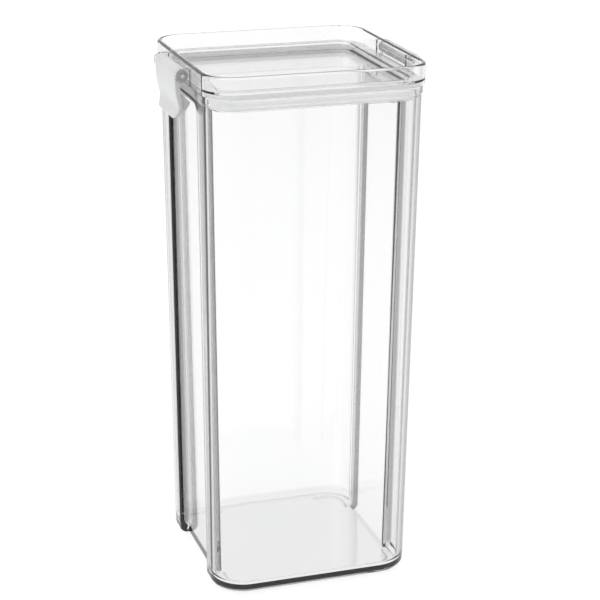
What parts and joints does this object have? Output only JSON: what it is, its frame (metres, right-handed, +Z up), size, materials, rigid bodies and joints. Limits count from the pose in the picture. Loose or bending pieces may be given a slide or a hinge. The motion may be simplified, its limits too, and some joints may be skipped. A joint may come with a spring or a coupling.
{
  "type": "food canister",
  "caption": "Tall square clear canister with grip recesses, a hinged clear tray lid with a silicone gasket, and a white flip latch.",
  "frame": {"origin": "centre of the base on the resting plane", "axes": "+Z up along the height; -Y towards the front wall; the latch is on -X and the hinge on +X"},
  "size_m": [0.1196, 0.106, 0.2555],
  "materials": {
    "clear_body": "clear polished styrene-acrylonitrile",
    "clear_lid": "clear polished styrene-acrylonitrile",
    "silicone": "soft translucent white silicone",
    "latch_plastic": "satin white polypropylene",
    "pin_plastic": "smooth pale plastic"
  },
  "bodies": {
    "canister": {"canister_body": "clear_body", "hinge_bracket": "clear_lid", "hinge_pin": "pin_plastic"},
    "lid": {"lid_cover": "clear_lid", "lid_gasket": "silicone", "latch_pin": "pin_plastic"},
    "latch": {"latch_clip": "latch_plastic"}
  },
  "joints": [
    {"name": "lid_hinge", "type": "hinge", "parent": "canister", "child": "lid", "pos_m": [0.0566, 0, 0.2504], "axis": [0, 1, 0], "range_deg": [0, 110]},
    {"name": "latch_pivot", "type": "hinge", "parent": "lid", "child": "latch", "pos_m": [-0.0566, 0, 0.2504], "axis": [0, 1, 0], "range_deg": [0, 100]}
  ]
}
